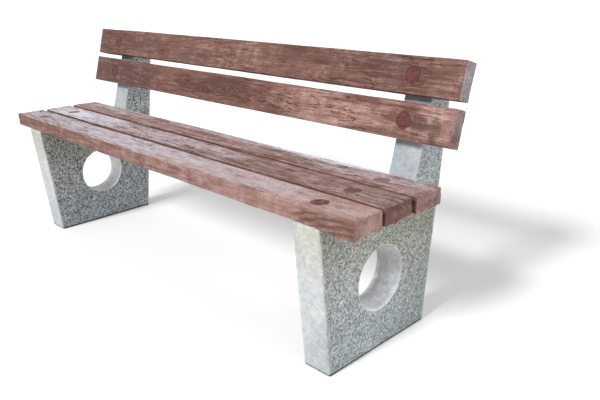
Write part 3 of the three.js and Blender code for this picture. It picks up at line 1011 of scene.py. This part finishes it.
def flared_hole(points, hole_radius, flare, seed):
    """Pushes the mouths of the hole outward from its centre by the flare, given at the top and the bottom,
    less with depth and with distance over the face, and by an uneven 0.8 mm all round."""
    flat = points[:, 1:] - HOLE_CENTRE
    away = np.linalg.norm(flat, axis=1)
    bottom = ease(-0.3, 0.95, -flat[:, 1] / away)
    depth = FRAME_THICKNESS / 2 - np.abs(points[:, 0])
    mouth = np.clip(1 - depth / (FRAME_THICKNESS / 2), 0, 1) ** 1.6
    near = ease(hole_radius + 45 * MM, hole_radius, away)
    uneven = layered_noise(points, (0.05, 0.05, 0.05), seed + 51, 2) - 0.5
    push = (flare[0] + (flare[1] - flare[0]) * bottom + 1.5 * uneven) * MM * mouth * near
    return points + np.insert(flat / away[:, None] * push[:, None], 0, 0, axis=1)


def washed_mask(points, normals, seed, hole_radius, soft):
    """1 where the face was washed: broad faces, from a ragged line a few millimetres inside the edges and,
    round the hole, a line that is further out where the lip is soft."""
    ragged = layered_noise(points, (0.012, 0.012, 0.012), seed, 3)
    from_hole = np.linalg.norm(points[:, 1:] - HOLE_CENTRE, axis=1) - hole_radius
    broad = ease(0.9, 1, np.abs(normals[:, 0]))
    inside = ease(0, 3 * MM, edge_distance(points) - 24 * MM * (ragged - 0.3))
    clear = ease(0, soft, from_hole - 3 * soft * (ragged - 0.2))
    return broad * inside * clear


def frame_relief(points, normals, washed, seed):
    """Height over the smooth casting: the washed skin lies 0.5 mm low with domed pebbles 0.8 mm high on
    it; smooth skin has slow swell and fine grit, and its arrises have small chips."""
    dome = 1 - ease(0.15, 0.75, nearest_pebble(points, PEBBLE, seed))
    swell = layered_noise(points, (0.12, 0.12, 0.12), seed + 5, 3) - 0.5
    on_arris = ease(0.98, 0.8, np.abs(normals).max(1))
    chip = ease(0.55, 0.8, layered_noise(points, (0.014, 0.014, 0.014), seed + 9, 2)) * on_arris
    gritty = layered_noise(points, (0.006, 0.006, 0.006), seed + 13, 2) - 0.5
    bare = 1 - washed
    return (washed * (0.8 * dome - 0.5) + 1.2 * swell - 2.2 * chip + 0.9 * bare * gritty) * MM


# %% [markdown]
# ## Material: washed concrete
#
# The pebbles are river gravel, 4 to 8 mm, of slate blue, grey, black, white and tan stones in grey
# cement. Cells of a Voronoi texture give one stone each, and each cell's random number picks its colour.
# The smooth skin is pale cement with a bluish cast, small pores and faint rust from the bars inside. Both
# are matt: roughness 0.8 to 0.9, IOR 1.5. A painted contact shadow darkens the lowest few millimetres, and
# damp from the seat has browned the top.

# %% Washed concrete
STONES = (
    # the share of the stones after which each colour begins
    (0.0, "#4b525c"),
    (0.14, "#7a828b"),
    (0.34, "#a2a7aa"),
    (0.55, "#b1b0a6"),
    (0.66, "#c4c9cb"),
    (0.88, "#e3e5e6"),
)
STONES_PER_METRE = 175
CEMENT = palette(
    cool="#afb3b6", warm="#bec2c3", between="#a3a7a7", pore="#8f9392", rust="#a89a86", lime="#f0f3f7"
)
FILM = palette(
    splash="#e2e4e4", blue="#e8eef4", brown="#efe9dc", grime="#cfccc0", shade="#d9dee3", dirt="#2f3136"
)


def smooth_cement(tree, place, pores, rust, lime):
    """Two greys in clouds, then rust, pale lime that is also painted light on upward-facing hole walls,
    pores 3 mm wide and a mottle of 13 mm.
    """
    add = functools.partial(add_node, tree)
    cloud = add("TexNoise", Vector=place, Scale=9, Detail=5, Roughness=0.6)
    mottle = add("TexNoise", Vector=place, Scale=75, Detail=7, Roughness=0.8)
    skin = add("Mix", add("MapRange", cloud, 0.4, 0.6), CEMENT["cool"], CEMENT["warm"], **OVER)
    skin = add("Mix", add("Math", rust, 0.45, operation="MULTIPLY"), skin, CEMENT["rust"], **OVER)
    # Pale lime; on the holes' upward-facing walls it is also painted light.
    skin = add("Mix", lime, skin, CEMENT["lime"], **OVER)
    skin = add("Mix", add("MapRange", pores, 0.52, 0.66, 0, 0.6), skin, CEMENT["pore"], **OVER)
    return add("Mix", 1, skin, add("MapRange", mottle, 0.36, 0.64, 0.78, 1.18), **THROUGH)


def bared_pebbles(tree, to_centre):
    """Each cell's random number picks a stone colour, and cement shows between the stones."""
    pick = add_node(tree, "SeparateColor", to_centre.node.outputs["Color"])
    stones = add_node(tree, "ValToRGB", pick)
    stones.node.color_ramp.interpolation = "CONSTANT"
    elements = stones.node.color_ramp.elements
    while len(elements) < len(STONES):
        elements.new(0.5)
    for element, (start, colour) in zip(elements, STONES):
        element.position, element.color = start, linear(colour)
    between = add_node(tree, "MapRange", to_centre, 0.42, 0.7)
    return add_node(tree, "Mix", between, stones, CEMENT["between"], **OVER)


def weathered(tree, skin, height, washed, grime):
    """The skin seen through films that depend on the height: splashes below, brown damp under the seat, and
    a darkening film that is warm grime with painted shade below the seat and cool painted shade above it."""
    add = functools.partial(add_node, tree)
    splash = add("Mix", washed, FILM["splash"], FILM["blue"], **OVER)
    splash = add("Mix", add("MapRange", height, 0.05, 0.3), splash, WHITE, **OVER)
    skin = add("Mix", 1, skin, splash, **THROUGH)
    from_below, from_above = add("MapRange", height, 0.24, 0.41), add("MapRange", height, 0.41, 0.44, 1, 0)
    damp = add("Math", from_below, from_above, operation="MULTIPLY")
    skin = add("Mix", 1, skin, add("Mix", damp, WHITE, FILM["brown"], **OVER), **THROUGH)
    # The darkening film: warm grime with painted shade below the seat, cool painted shade above it.
    film = add("Mix", add("MapRange", height, 0.41, 0.44), FILM["grime"], FILM["shade"], **OVER)
    return add("Mix", 1, skin, add("Mix", grime, WHITE, film, **OVER), **THROUGH)


def washed_concrete():
    """Pebbles where the face was washed, smooth cement elsewhere, and the weather over both."""
    material, tree, shader = new_material(
        "washed_pebble_concrete", Roughness=0.85, IOR=1.5, Specular_IOR_Level=0.3
    )
    add = functools.partial(add_node, tree)
    place = add("TexCoord").node.outputs["Object"]
    wash = add("Attribute", attribute_name="wash")
    washed, rust, lime = add("SeparateColor", wash).node.outputs
    height = add("SeparateXYZ", place).node.outputs["Z"]
    pores = add("TexNoise", Vector=place, Scale=300, Detail=4, Roughness=0.7)
    to_centre = add("TexVoronoi", Vector=place, Scale=STONES_PER_METRE)

    smooth = smooth_cement(tree, place, pores, rust, lime)
    skin = add("Mix", washed, smooth, bared_pebbles(tree, to_centre), **OVER)
    skin = weathered(tree, skin, height, washed, wash.node.outputs["Alpha"])
    skin = add("Mix", 1, skin, add("MapRange", pores, 0.3, 0.7, 0.88, 1.12), **THROUGH)
    # Painted contact shadow: the lowest 5.5 to 7.5 mm of the frame go dark where it meets the floor.
    skin = add("Mix", add("MapRange", height, 7.5 * MM, 5.5 * MM), skin, FILM["dirt"], **OVER)
    tree.links.new(skin, shader.inputs["Base Color"])

    domed = add("Math", add("Math", 0.7, to_centre, operation="SUBTRACT"), washed, operation="MULTIPLY")
    relief = weighted(tree, (domed, 1), (pores, 0.35))
    bump = add("Bump", Height=relief, Strength=0.35, Distance=1.2 * MM)
    tree.links.new(bump, shader.inputs["Normal"])
    return material


WASHED = washed_concrete()

# %% [markdown]
# ## Side frames: making the two
#
# Both frames come from one mould, but the right one's hole was worn wider at its mouths and has a softer
# lip, and weather has treated them differently. Lime sits in the holes, and on their upward-facing walls
# its pale colour is also painted light. Grime lies on the washed faces with painted shade, most of it just
# under the seat. Painted shade darkens the posts above the seat, and rust specks lie on the narrow front
# edges. As with the planks, the strengths are stored on the mesh. Flare is in millimetres, at the hole's
# top and bottom.

# %% The two side frames
# grime: grime with painted shade under the seat; post: painted shade on the post's washed faces above the
# seat; rear: darker towards the leg's rear.
FRAMES = {
    "side_frame_right": dict(
        seed=401, hole_radius=80 * MM, flare=(12, 13), lip_round=4.5 * MM, soft=7 * MM,
        lime=0.2, grime=0.5, post=0.45, rear=0.4,
    ),
    "side_frame_left": dict(
        seed=433, hole_radius=86 * MM, flare=(1, 6), lip_round=2 * MM, soft=3 * MM,
        lime=1.0, grime=0.62, post=0.0, rear=0.0,
    ),
}


def wash_strengths(own, drawn, normals, washed):
    """How far each point is washed, rusted, limed and darkened. Rust and lime are broken up by noise, and
    lime is also painted light on the upward-facing wall. The darkening is grime with painted shade that
    grows towards the seat, painted shade where the hole's wall faces down and on the posts above the seat,
    and more darkness towards the leg's rear."""
    on_front = ease(-0.6, -0.95, normals[:, 1])
    cloud = layered_noise(drawn, (0.05, 0.05, 0.035), own["seed"] + 31, 4)
    rust = on_front * ease(0.6, 0.8, cloud)
    from_centre = np.linalg.norm(drawn[:, 1:] - HOLE_CENTRE, axis=1)
    in_hole = from_centre < own["hole_radius"] + 22 * MM
    # Lime in the hole, fully where the wall faces up; there its pale colour is also painted light.
    lime = in_hole * np.maximum(own["lime"], ease(-0.1, 0.8, normals[:, 2] + 0.7 * (cloud - 0.5)))
    below_seat = ease(LEG_TOP + 10 * MM, LEG_TOP, drawn[:, 2])
    towards_seat = 0.35 + 0.65 * ease(0.05, 0.38, drawn[:, 2])
    # Grime on the washed faces below the seat, with painted shade that grows towards the seat.
    grime = own["grime"] * below_seat * towards_seat * np.maximum(washed, 0.2)
    # Painted shade where the hole's wall faces down.
    grime += 0.3 * in_hole * ease(0.3, -0.3, normals[:, 2])
    # Painted shade above the seat, on the post's front edge behind the back planks and on its washed faces.
    grime += (1 - below_seat) * (0.7 * on_front + own["post"] * washed)
    # Darker towards the leg's rear.
    grime += own["rear"] * washed * below_seat * ease(-0.1, 0.2, drawn[:, 1])
    return np.stack([washed, rust, lime, grime], 1)


for node, own in FRAMES.items():
    shell, normals, quads = frame_shell(own["hole_radius"], own["lip_round"])
    drawn = flared_hole(shell, own["hole_radius"], own["flare"], own["seed"])
    drawn += np.array([middle_of(node)[0], 0, 0])
    washed = washed_mask(drawn, normals, own["seed"], own["hole_radius"], own["soft"])
    height = frame_relief(drawn, normals, washed, own["seed"])
    points = drawn + normals * height[:, None]
    points[:, 2] = np.maximum(points[:, 2], 0)
    side_frame = make_piece(
        node + "_washed",
        points,
        quads,
        WASHED,
        colours={"wash": wash_strengths(own, drawn, normals, washed)},
    )
    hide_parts(node)
    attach(side_frame, "root")

# %% [markdown]
# ## Hidden ironwork
#
# Bolts, washers and sockets are zinc-plated steel, and the bars are ribbed reinforcing steel with mill
# scale and a little rust. They stay as the CAD drew them, and only get their finish. Zinc plate has a
# fine spangle and roughness near 0.4; mill scale is darker and rougher. Both are metals, so they keep the
# default IOR.


# %% Ironwork materials
def plated_or_scaled(name, fresh, aged, spot, roughness):
    """A metal whose colour and roughness go between two finishes by a noise with spots of a given size."""
    material, tree, shader = new_material(name, Metallic=1)
    add = functools.partial(add_node, tree)
    place = add("TexCoord").node.outputs["Object"]
    spots = add("TexNoise", Vector=place, Scale=1 / spot, Detail=4)
    colour = add("Mix", add("MapRange", spots, 0.4, 0.62), linear(fresh), linear(aged), **OVER)
    tree.links.new(colour, shader.inputs["Base Color"])
    tree.links.new(add("MapRange", spots, 0.3, 0.7, *roughness), shader.inputs["Roughness"])
    bump = add("Bump", Height=spots, Strength=0.3, Distance=0.3 * MM)
    tree.links.new(bump, shader.inputs["Normal"])
    return material


ZINC = plated_or_scaled("zinc_plated_steel_passivated", "#c2c5c6", "#a3a8a6", 4 * MM, (0.32, 0.5))
BAR_STEEL = plated_or_scaled("reinforcing_steel_mill_scale", "#5a5552", "#7a4b35", 6 * MM, (0.55, 0.8))
for name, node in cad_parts.items():
    if any(word in name for word in ("bolt", "washer", "socket")):
        node.material_slots[0].material = ZINC
    elif name.endswith(("bars", "bar_cage")):
        node.material_slots[0].material = BAR_STEEL

# %% [markdown]
# ## Floor and light
#
# The bench stands on a plain white floor under an even white sky. One large soft light comes from the
# front, 35 degrees up and a little from the left. It brightens the front faces and throws soft shadows
# back. A weak, wide lamp at the right end lights the near hole's wall, which would be dull without it.

# %% Floor
FLOOR_HALF = 60.0
floor_material, floor_tree, floor_shader = new_material("studio_floor", Roughness=1, Specular_IOR_Level=0)
floor_shader.inputs["Base Color"].default_value = linear("#fafafa")
floor_corners = FLOOR_HALF * np.array([[-1, -1, 0], [1, -1, 0], [1, 1, 0], [-1, 1, 0]], float)
floor = make_piece("studio_floor", floor_corners, np.array([[0, 1, 2, 3]]), floor_material)

# %% Light
SKY_STRENGTH = 0.68
SUN_STRENGTH = 3.1
SUN_HEIGHT = 35
SUN_FROM_LEFT = 2
SUN_SOFTNESS = 14
LAMP_POWER = 46
LAMP_PLACE = (2.35, -0.03, 0.8)
LAMP_TILT = 68
LAMP_CONE = 30
LAMP_RADIUS = 0.35


def add_light(name, kind, turn, place=(0, 0, 0), **settings):
    """A light of a kind, SUN or SPOT, turned from straight down by the given angles in degrees."""
    data = bpy.data.lights.new(name, kind)
    for key, value in settings.items():
        setattr(data, key, value)
    light = bpy.data.objects.new(name, data)
    light.location = place
    light.rotation_euler = [math.radians(angle) for angle in turn]
    scene.collection.objects.link(light)
    print(name, kind, data.energy)
    return light


world = bpy.data.worlds.new("studio_sky")
world.use_nodes = True
world.node_tree.nodes["Background"].inputs["Color"].default_value = WHITE
world.node_tree.nodes["Background"].inputs["Strength"].default_value = SKY_STRENGTH
scene.world = world
add_light(
    "soft_front_light",
    "SUN",
    (90 - SUN_HEIGHT, 0, -SUN_FROM_LEFT),
    energy=SUN_STRENGTH,
    angle=math.radians(SUN_SOFTNESS),
)
side_lamp = add_light(
    "side_lamp",
    "SPOT",
    (0, LAMP_TILT, 0),
    LAMP_PLACE,
    energy=LAMP_POWER,
    spot_size=math.radians(LAMP_CONE),
    spot_blend=1,
    shadow_soft_size=LAMP_RADIUS,
)
side_lamp.visible_camera = False
